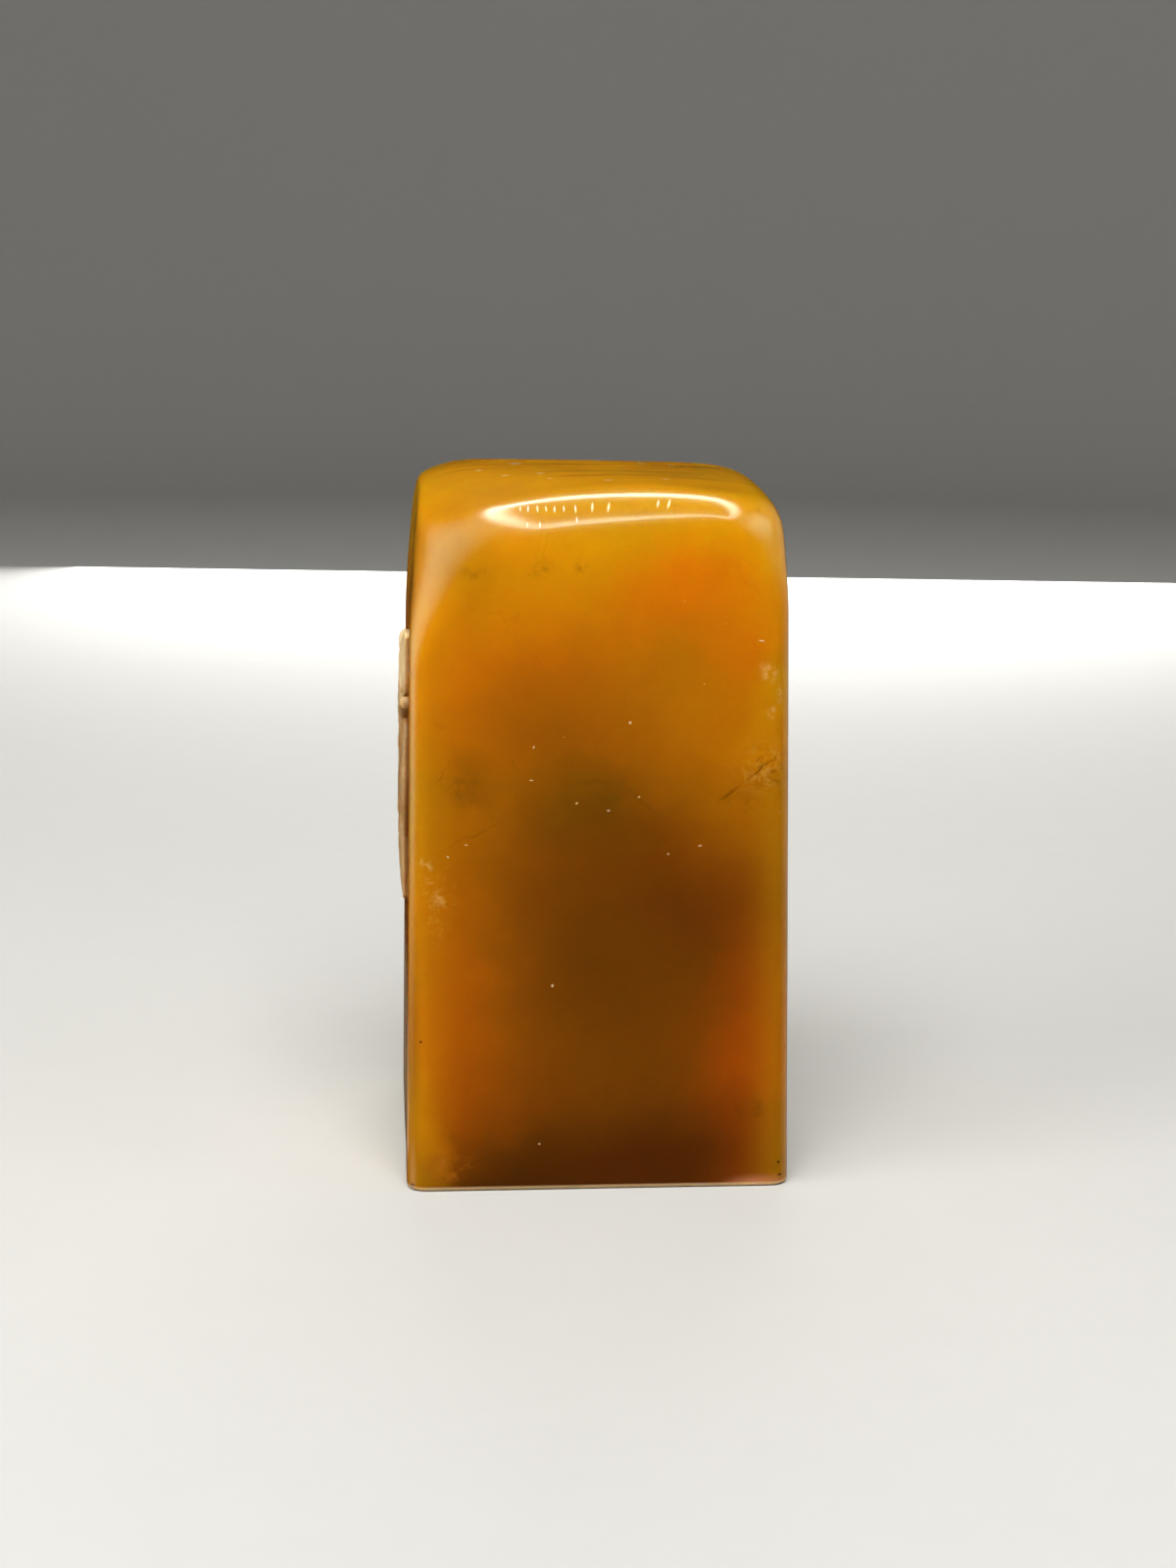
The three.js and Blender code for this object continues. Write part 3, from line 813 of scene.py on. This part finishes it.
# Pale ticks along the front shoulder: painted glints of light
SHOULDER_GLINTS = [
    (-5.5, -10.7, 45.8, 0.08, 0.4, 0.4, 0),
    (-5.0, -10.8, 45.8, 0.09, 0.5, 0.5, -6),
    (-4.4, -10.9, 45.8, 0.09, 0.5, 0.5, 0),
    (-3.85, -11.0, 45.8, 0.08, 0.4, 0.4, 5),
    (-3.3, -11.1, 45.8, 0.09, 0.45, 0.45, -5),
    (-2.7, -11.1, 45.8, 0.08, 0.4, 0.4, 0),
    (-1.95, -11.2, 45.8, 0.09, 0.5, 0.5, 0),
    (-0.85, -11.2, 45.95, 0.11, 0.6, 0.6, -8),
    (0.2, -11.3, 45.95, 0.11, 0.6, 0.6, -14),
    (3.4, -11.3, 46.15, 0.1, 0.5, 0.5, -18),
    (4.1, -11.4, 46.15, 0.11, 0.6, 0.6, -22),
    (-5.1, -11.8, 44.8, 0.08, 0.3, 0.3, 0),
    (-4.3, -11.9, 44.85, 0.08, 0.3, 0.35, 0),
    (-1.9, -11.8, 45.15, 0.08, 0.3, 0.3, 0),
]
FRONT_DUST = [
    (1.65, -12.8, 32.0, 0.15, 0.4, 0.15, 0),
    (-4.65, -12.8, 30.4, 0.09, 0.4, 0.14, -20),
    (-4.8, -12.8, 28.2, 0.2, 0.4, 0.06, 0),
    (-1.8, -12.8, 26.65, 0.13, 0.4, 0.1, 20),
    (0.3, -12.8, 26.15, 0.18, 0.4, 0.08, 0),
    (-9.05, -12.8, 23.9, 0.16, 0.4, 0.06, 0),
    (-10.25, -12.8, 23.1, 0.15, 0.4, 0.08, -20),
    (2.3, -12.8, 27.05, 0.13, 0.4, 0.08, 30),
    (4.3, -12.8, 23.2, 0.12, 0.4, 0.09, 0),
    (6.4, -12.8, 23.75, 0.2, 0.4, 0.07, 10),
    (10.2, -12.8, 37.4, 0.28, 0.4, 0.06, -10),
    (-3.3, -12.9, 14.3, 0.12, 0.4, 0.16, 0),
    (-4.1, -12.9, 3.3, 0.13, 0.4, 0.1, 0),
]
EDGE_SCUFFS = [
    (10.7, -12.8, 35.3, 0.9, 1.0, 1.0, 35),
    (11.5, -12.7, 33.8, 0.4, 1.0, 0.8, 0),
    (10.9, -12.8, 32.6, 0.5, 1.0, 0.6, 0),
    (-11.7, -12.8, 22.6, 0.8, 1.0, 0.5, -30),
    (-11.4, -12.8, 21.4, 0.4, 1.0, 0.3, 0),
    (-10.9, -12.8, 20.2, 0.7, 1.0, 0.5, -40),
]
# A hairline fissure in two strokes, faint seams inside the stone, and dark specks
FISSURE = [
    (8.3, -12.8, 27.3, 1.3, 1.0, 0.24, 34),
    (10.4, -12.8, 28.9, 1.9, 1.0, 0.14, 39),
]
SEAMS = [
    (-0.6, -12.8, 28.0, 2.4, 1.0, 0.24, 3),
    (2.7, -12.8, 26.6, 2.2, 1.0, 0.26, -42),
    (-8.4, -12.8, 24.6, 3.2, 1.0, 0.13, 24),
    (-10.6, -12.8, 28.6, 1.6, 1.0, 0.12, 62),
    (-5.9, -12.8, 29.2, 0.9, 1.0, 0.12, -70),
    (9.3, -12.9, 5.4, 0.9, 1.0, 0.2, -62),
]
DARK_SPECKS = [
    (-12.6, -12.6, 0.4, 0.22, 0.4, 0.2, 0),
    (-12.05, -12.8, 10.5, 0.14, 0.4, 0.1, 30),
    (12.2, -12.8, 1.7, 0.14, 0.4, 0.13, 0),
    (12.3, -12.8, 0.8, 0.14, 0.4, 0.13, 0),
]


def stone_clouds(paint, still):
    """The colour of the stone: darker towards the foot, partly as painted shade of light from above, with
    clouds behind the front and back.
    """
    place = paint.drift(still, 4, 0.9)
    x, y, z = paint.split(still)
    stops = [(height / BLOCK_HEIGHT, (*tone, STONE_BLUE)) for height, tone in RAMP.items()]
    colour = paint.node("ValToRGB", {"ramp": stops}, [z / BLOCK_HEIGHT])
    for wall, zones in ((-HALF_DEPTH, FRONT_ZONES), (HALF_DEPTH, BACK_ZONES)):
        for across, up, reach_across, reach_up, turn, red, green in zones.values():
            reach = (reach_across, ZONE_DEPTH, reach_up)
            near = paint.zone(place, (across, wall, up), reach, turn)
            colour = paint.blend(near, colour, (red, green, STONE_BLUE))
    # the stone is clearer and yellower towards its upright edges, partly a painted glow of light shining
    # through them
    edge = abs(x) * abs(y) / (HALF_WIDTH * HALF_DEPTH)
    return paint.blend(paint.step(edge, 0.68, 1.31), colour, EDGE_GLOW_GOLD)


def front_shades(paint, still, colour):
    """Shades under the left patch of light, under the loop of light and along the lower left edge."""
    under_patch = paint.zone(still, (-10.0, -HALF_DEPTH, 43.2), (4.6, 6, 5.4), share=1.5)
    colour = paint.blend(under_patch * 0.22, colour, PATCH_OLIVE)
    under_loop = paint.zone(still, (1.5, 1.0 - HALF_DEPTH, 45.6), (14, 5, 3.5), share=1.3)
    colour = paint.blend(under_loop * 0.5, colour, LOOP_GOLD)
    lower_edge = paint.zone(still, (-12.8, -12.7, 10), (1.1, 1.1, 12), share=1.5)
    return paint.blend(lower_edge * 0.45, colour, LOWER_EDGE_BROWN)


def mottle(paint, still, colour):
    """Soft lighter and darker patches and a fine grain."""
    cloud = paint.noise(still, 7, detail=4)
    light = paint.noise(still, 1.6, detail=5, roughness=0.6) * 0.16 + cloud * 0.2 + 0.76
    light = light + paint.noise(still, 0.22, detail=3, roughness=0.7) * 0.12
    return paint.node("VectorMath", {"operation": "SCALE"}, {0: colour, "Scale": light})


def left_ground(paint, still, colour):
    """The ground of the left face: a paler skin below the carving, a darker brown patch above it."""
    ground = paint.zone(still, (-HALF_WIDTH, 0, 8), (0.27, 28, 14), share=3)
    crust = paint.noise(still, 3.5, detail=6, roughness=0.65)
    flow = paint.noise(still, 2.4, detail=7, roughness=0.68, stretch=(1, 1, 0.55))
    grain = paint.step(flow, 0.34, 0.68) * 0.45 + 0.3
    colour = paint.blend(paint.step(ground * crust, 0.15, 0.65) * grain, colour, SKIN_CREAM)
    # a darker brown patch high on the front half of the left face
    dark_patch = paint.zone(still, (-HALF_WIDTH, -9, 40.5), (0.9, 9, 4.5), share=2)
    blot = paint.noise(still, 2.2, detail=5, roughness=0.6, stretch=(1, 0.6, 1))
    return paint.blend(dark_patch * paint.step(blot, 0.3, 0.62) * 0.8, colour, DARK_PATCH_BROWN)


def crown_streaks(paint, still, colour):
    _, y, z = paint.split(still)
    crown = paint.step(z, 46.3, 47.2) * paint.step(y, -7, -4)
    streak = paint.noise(still, 1.1, detail=4, roughness=0.6, stretch=(0.09, 1, 0.3))
    colour = paint.blend(crown * paint.step(streak, 0.48, 0.66) * 0.75, colour, STREAK_BROWN)
    film = paint.noise(still, 2.4, detail=3, stretch=(0.2, 1, 0.3), shift=(3, 7, 1))
    return paint.blend(crown * paint.step(film, 0.45, 0.65) * 0.35, colour, FILM_GOLD)


def smoke(paint, still):
    return paint.step(paint.noise(still, 0.9, detail=4, roughness=0.65), 0.42, 0.75)


def wisps_and_veins(paint, still, colour):
    wisp = 0.0
    for across, up, reach_across, reach_up in WISPS:
        near = paint.zone(still, (across, -HALF_DEPTH, up), (reach_across, 3, reach_up))
        wisp = near + wisp
    thread = paint.veins(still, 1.5, 0.05, detail=3, roughness=0.6, warp=0.8)
    dark = paint.step(wisp, 0.1, 0.9) * (thread * 0.2 + smoke(paint, still) * 0.4)
    colour = paint.blend(dark, colour, WISP_BROWN)
    # fine veins through the whole stone, strong only here and there
    vein = paint.veins(still, 9, 0.012, detail=3, roughness=0.55, warp=1.2, shift=(4, 2, 9))
    gate = paint.step(paint.noise(still, 6, detail=1, shift=(8, 1, 5)), 0.52, 0.68)
    return paint.blend(vein * gate * 0.12, colour, VEIN_BROWN)


def edge_wear(paint, still, colour):
    """Frosting beside the left edge, a flaky patch and a fissure at the right one, rubbed corners."""
    grain = paint.noise(still, 0.45, detail=3, roughness=0.6)
    frost = paint.zone(still, (-11.0, -HALF_DEPTH, 20.0), (2.2, 4, 4.2))
    colour = paint.blend(frost * paint.step(grain, 0.5, 0.72) * 0.25, colour, FROST_GOLD)
    flaky = paint.zone(still, (10.6, -HALF_DEPTH, 29.0), (2.8, 2, 2.4), 35, share=1.6)
    colour = paint.blend(flaky * paint.step(grain, 0.42, 0.66) * 0.2, colour, FLAKE_GOLD)
    crackle = paint.veins(still, 0.9, 0.03, detail=3, roughness=0.6, warp=0.6, shift=(2, 5, 1))
    colour = paint.blend(flaky * crackle * 0.4, colour, CRACKLE_BROWN)
    wavy = paint.drift(still, 0.8, 0.2)
    crack = paint.spots(wavy, FISSURE) * 0.22 + paint.spots(wavy, SEAMS) * 0.1
    colour = paint.blend(crack, colour, CRACK_BROWN)
    scuff = paint.spots(wavy, EDGE_SCUFFS) * paint.step(grain, 0.36, 0.6)
    colour = paint.blend(scuff * 0.13, colour, SCUFF_CREAM)
    return paint.blend(paint.spots(still, DARK_SPECKS) * 0.8, colour, SPECK_BROWN)


def foot_smudge_and_highlights(paint, still, colour):
    """A smudge at the left corner, a painted highlight on the front left corner's rounding, a painted warm
    glow at the right corner and a painted highlight along the lower rim.
    """
    smudge = paint.zone(still, (-10.2, -HALF_DEPTH, 1.8), (2.6, 2, 1.6), 10, share=1.5)
    colour = paint.blend(smudge * smoke(paint, still) * 0.8, colour, SMUDGE_BROWN)
    # painted highlight on the rounding of the front left corner at the foot
    painted_corner_highlight = paint.zone(still, (-HALF_WIDTH, -HALF_DEPTH, 1.0), (0.75, 0.75, 5.5), share=1.5)
    colour = paint.blend(painted_corner_highlight * 0.6, colour, CORNER_HIGHLIGHT_CREAM)
    # painted warm glow of light at the right corner of the foot
    glow = paint.zone(still, (10.8, -HALF_DEPTH, 0.2), (3.2, 2, 0.9), share=1.5)
    colour = paint.blend(glow * 0.4, colour, FOOT_GLOW_PINK)
    _, _, z = paint.split(still)
    # painted highlight along the lower rim
    painted_rim_highlight = 1 - paint.step(z, 0.22, 0.42)
    return paint.blend(painted_rim_highlight * 0.55, colour, RIM_HIGHLIGHT_CREAM)


def dust_and_glints(paint, still, colour):
    # pale marks of wear and dust on the crown and front, and painted glints on the front shoulder
    pale = paint.spots(still, CROWN_MARKS) * 0.35 + paint.spots(still, SHOULDER_GLINTS) * 0.5
    pale = pale + paint.spots(still, FRONT_DUST) * 0.28
    colour = paint.blend(pale, colour, MARK_AND_GLINT_CREAM)
    return paint.blend(paint.specks(still, 1.3, 0.05, 0.1) * 0.45, colour, DUST_CREAM)


def engraved_share(paint, still):
    """1 in the engraving of the print face, which is cut and not polished."""
    x, y, z = paint.split(still)
    over_depth = paint.step(z, ENGRAVING_DEPTH + 0.06, ENGRAVING_DEPTH + 0.15)
    border = HALF_WIDTH - FOOT_ROUNDING - BORDER_WIDTH
    over_border = paint.step(abs(x).maximum(abs(y)), border + 0.03, border + 0.1)
    return paint.step(z, 0.02, 0.06) * (1 - over_depth) * (1 - over_border)


STONE_LAYERS = [
    front_shades,
    mottle,
    left_ground,
    crown_streaks,
    wisps_and_veins,
    edge_wear,
    foot_smudge_and_highlights,
    dust_and_glints,
]


def amber_stone():
    paint = Paint("amber_stone")
    still = paint.place()
    colour = stone_clouds(paint, still)
    for layer in STONE_LAYERS:
        colour = layer(paint, still, colour)
    cut = engraved_share(paint, still)
    colour = paint.blend(cut * 0.65, colour, CUT_STONE)
    roughness = 0.17 + paint.noise(still, 5, detail=3) * 0.1 + cut * 0.35
    fine = paint.noise(still, 1.2, detail=3)
    normal = paint.node("Bump", sockets={"Strength": 0.1, "Distance": 0.00002, "Height": fine})
    return paint.finish(
        colour, roughness, normal,
        Subsurface_Weight=1.0, Subsurface_Radius=(1.6, 1.0, 0.3), Subsurface_Scale=0.001,
        Specular_IOR_Level=0.25, IOR=1.5, Coat_Weight=0.5, Coat_Roughness=0.05, Coat_IOR=1.45)


def pale_skin():
    paint = Paint("pale_skin")
    place = paint.place()
    cloud = paint.noise(place, 3, detail=4)
    stops = [(0.3, srgb(138, 98, 54)), (0.5, srgb(160, 120, 74)), (0.75, srgb(192, 156, 110))]
    colour = paint.node("ValToRGB", {"ramp": stops}, [cloud])
    # darker in the recesses next to the face, as painted shade, and paler in its highest parts on the
    # block, as a painted highlight
    x, _, z = paint.split(place)
    rise = z * LEAN["left"] - x - HALF_WIDTH
    painted_recess_shade = 1 - paint.step(rise, 0.05, 0.42)
    colour = paint.blend(painted_recess_shade * 0.6, colour, srgb(98, 60, 24))
    # painted highlight over the upper part of the carving
    colour = paint.blend(paint.step(z, 31.5, 34.0) * 0.7, colour, srgb(232, 202, 156))
    grain = paint.noise(place, 0.3, detail=3)
    normal = paint.node("Bump", sockets={"Strength": 0.2, "Distance": 0.00003, "Height": grain})
    return paint.finish(
        colour, 0.26 + cloud * 0.16, normal,
        Subsurface_Weight=0.8, Subsurface_Radius=(1.2, 0.7, 0.25), Subsurface_Scale=0.001,
        Specular_IOR_Level=0.4, IOR=1.5)


amber = amber_stone()
skin = pale_skin()

# Leaves of the carving: base, bend and tip across and up the panel from its middle foot, full width, veins
LEAVES = {
    "large": ((0.03, 0.46), (0.12, 0.2), (0.6, 0.01), 4.8, 8),
    "upper": ((-0.4, 0.462), (-0.72, 0.59), (-0.58, 0.86), 4.2, 9),
    "side": ((0.7, 0.66), (0.95, 0.52), (0.8, 0.255), 3.2, 8),
    "small": ((0.48, 0.73), (0.56, 0.91), (0.98, 0.97), 2.7, 7),
    "young": ((0.42, 0.588), (0.52, 0.53), (0.56, 0.4), 1.6, 5),
}
pieces = {"stone_block": (engraved_block(amber), "amber_stone")}
for kind, (base, bend, tip, full_width, veins) in LEAVES.items():
    made = leaf(f"seal_leaf_{kind}", skin, base, bend, tip, full_width, veins)
    pieces[f"relief_leaf_{kind}"] = (made, "pale_skin")
bud = leaf("seal_bud", skin, (-0.8, 0.34), (-0.98, 0.435), (-0.93, 0.585), 1.8, 4)
pieces["relief_bud"] = (bud, "pale_skin")
pieces["relief_branch"] = (branch(skin), "pale_skin")
pieces["relief_tendril"] = (tendril(skin), "pale_skin")
pieces["relief_berry_cluster"] = (berries(skin), "pale_skin")
for node, (piece, slot) in pieces.items():
    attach(piece, "root")
    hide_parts(node)


# Stage: a round pale bowl
def bowl():
    """A level floor that turns up into a wall. Its sizes are in metres."""
    radius, rise, height = 0.9, 0.35, 0.7
    arc_steps = 12
    profile = [(radius - rise, 0)]
    for step in range(1, arc_steps + 1):
        angle = math.pi / 2 * step / arc_steps
        profile.append((radius - rise + rise * math.sin(angle), rise * (1 - math.cos(angle))))
    profile.append((radius, height))
    turn = full_turn(96)
    points = [(0, 0, 0)]
    points += [(r * math.cos(a), r * math.sin(a), h) for r, h in profile for a in turn]
    count = len(turn)
    faces = [(0, 1 + side, 1 + (side + 1) % count) for side in range(count)]
    for level in range(len(profile) - 1):
        here, above = 1 + level * count, 1 + (level + 1) * count
        for side in range(count):
            following = (side + 1) % count
            faces.append((here + side, above + side, above + following, here + following))
    return mesh_object("bowl", np.array(points) / MM, faces)


def matt(name, tone):
    paint = Paint(name)
    place = paint.place()
    speck = paint.noise(place, 4, detail=3)
    colour = paint.blend(speck, tuple(c * 0.97 for c in tone), tone)
    return paint.finish(colour, 0.85, Specular_IOR_Level=0.2)


floor = bowl()
floor.data.materials.append(matt("pale_floor", srgb(190, 188, 184)))
floor.visible_glossy = False


# Lamps: soft ones light the stone, and glowing sheets show in its polish
def soft_lamp(name, place, target, size, watts):
    """An area lamp at a place in millimetres, aimed at the target. It doesn't show in the polish."""
    light = bpy.data.lights.new(name, "AREA")
    light.shape = "RECTANGLE"
    light.size, light.size_y = size[0] * MM, size[1] * MM
    light.energy = watts
    lamp = bpy.data.objects.new(name, light)
    lamp.location = Vector(place) * MM
    lamp.rotation_euler = (Vector(target) - Vector(place)).to_track_quat("-Z", "Y").to_euler()
    lamp.visible_camera = False
    lamp.visible_glossy = False
    bpy.context.scene.collection.objects.link(lamp)


def glowing(name, points, faces, shares, strength, tone):
    """A glowing sheet that shows in polish only: it neither lights the stage nor is seen itself.
    Its light follows the share of each point, from 0 to 1."""
    sheet = mesh_object(name, points, faces)
    sheet.data.attributes.new("glow", "FLOAT", "POINT").data.foreach_set("value", shares)
    paint = Paint(name)
    share = paint.node("Attribute", {"attribute_name": "glow"}, output="Fac")
    glow = paint.blend(paint.step(share, 0, 1), (0, 0, 0), tone)
    light = paint.node("Emission", sockets={"Color": glow, "Strength": strength})
    shader = paint.node("AddShader", sockets=[light, paint.node("BsdfTransparent")])
    paint.node("OutputMaterial", sockets={"Surface": shader})
    sheet.data.materials.append(paint.material)
    sheet.visible_camera = False
    sheet.visible_diffuse = False
    sheet.visible_shadow = False
    return sheet


def rings_sheet(rings):
    """The faces between closed rings of equal count, numbered from the outside in."""
    levels, count = np.asarray(rings).shape[:2]
    faces = []
    for level in range(levels - 1):
        outer, inner = level * count, (level + 1) * count
        for side in range(count):
            following = (side + 1) % count
            faces.append((outer + side, outer + following, inner + following, inner + side))
    return faces


def ring_lamp(place, radii, turned, widths, strength, tone):
    """A level oval ring, brightest along its middle. Its widths are those on the right, at the back, on
    the left and in front. It is turned about its upright axis, in radians."""
    turn = full_turn(96)
    across, deep = np.cos(turn), np.sin(turn)
    right, back, left, front = widths
    width = (right + left + back + front) / 4 + (right - left) / 2 * across + (back - front) / 2 * deep
    rings = [
        np.column_stack([(radii[0] + side * width) * across, (radii[1] + side * width) * deep, 0 * turn])
        for side in (0.5, 0, -0.5)
    ]
    shares = np.repeat([0.0, 1.0, 0.0], len(turn))
    ring = glowing("ring_lamp", np.concatenate(rings), rings_sheet(rings), shares, strength, tone)
    ring.location = Vector(place) * MM
    ring.rotation_euler = (0, 0, turned)


def glow_panel(name, azimuth, height, target, distance, reach, strength, tone):
    """A soft oval panel facing the target, brightest in its middle. All angles are in degrees: its azimuth
    from the front towards the right, its height above level, and its reaches across and up as seen from
    the target."""
    azimuth, height = math.radians(azimuth), math.radians(height)
    level = math.cos(height)
    aim = Vector((math.sin(azimuth) * level, -math.cos(azimuth) * level, math.sin(height)))
    place = Vector(target) + distance * aim
    turn = full_turn(48)
    across, up = (distance * math.tan(math.radians(angle)) for angle in reach)
    rings = [
        [(across * share * math.cos(a), up * share * math.sin(a), 0) for a in turn]
        for share in (1, 0.001)
    ]
    shares = np.repeat([0.0, 1.0], len(turn))
    panel = glowing(name, np.concatenate(rings), rings_sheet(rings), shares, strength, tone)
    panel.location = place * MM
    panel.rotation_euler = (-aim).to_track_quat("-Z", "Y").to_euler()


RING_TONE = (0.8, 1.0, 0.82)
PANEL_TONE = (0.60, 1.0, 0.74)
EDGE_LIGHT_TONE = (0.3, 1.0, 0.8)
FILL_TONE = (1.0, 0.72, 0.45)
middle = (0, 0, BLOCK_HEIGHT / 2)
ring_lamp((11.8, -11, 300), (71, 212), 0.244, (84, 80, 48, 62), 16.5, RING_TONE)
glow_panel("left_panel", -89, 33, middle, 320, (43.4, 53.8), 3.0, PANEL_TONE)
glow_panel("right_panel", 70, 38, middle, 320, (41.3, 26.7), 4.0, PANEL_TONE)
glow_panel("right_fill", 110, 0, middle, 330, (52, 60), 0.9, FILL_TONE)
glow_panel("left_fill", -112, -8, middle, 330, (48, 50), 0.2, FILL_TONE)
glow_panel("left_edge_panel", -111, -2, middle, 325, (36, 20), 1.7, EDGE_LIGHT_TONE)
soft_lamp("top_lamp", (-30, -240, 400), (0, 0, 30), (300, 300), 2.9)
soft_lamp("left_lamp", (-330, -160, 150), middle, (220, 260), 1.1)
soft_lamp("right_lamp", (340, -130, 120), middle, (140, 240), 0.25)
soft_lamp("back_lamp", (40, 340, 70), middle, (240, 200), 1.2)

# World and view
world = bpy.data.worlds.new("studio")
world.use_nodes = True
background = world.node_tree.nodes["Background"]
background.inputs["Color"].default_value = (0.9, 0.93, 1, 1)
background.inputs["Strength"].default_value = 0.004
bpy.context.scene.world = world
bpy.context.scene.view_settings.view_transform = "Standard"

# Camera: fitted to the block's outline in the photograph's 1200 by 1600 frame
camera_data = bpy.data.cameras.new("camera")
camera_data.lens = 58.5
camera_data.sensor_width = 36
camera_data.clip_start = 0.01
camera = bpy.data.objects.new("camera", camera_data)
bpy.context.scene.collection.objects.link(camera)
CAMERA_PLACE = (-14.66, -176.07, 60.46)
CAMERA_YAW, CAMERA_PITCH, CAMERA_ROLL = 4.758, 11.227, 0.639
camera.location = Vector(CAMERA_PLACE) * MM
yaw = Matrix.Rotation(math.radians(-CAMERA_YAW), 4, "Z")
pitch = Matrix.Rotation(math.radians(90 - CAMERA_PITCH), 4, "X")
roll = Matrix.Rotation(math.radians(CAMERA_ROLL), 4, "Z")
camera.rotation_euler = (yaw @ pitch @ roll).to_euler()
bpy.context.scene.camera = camera
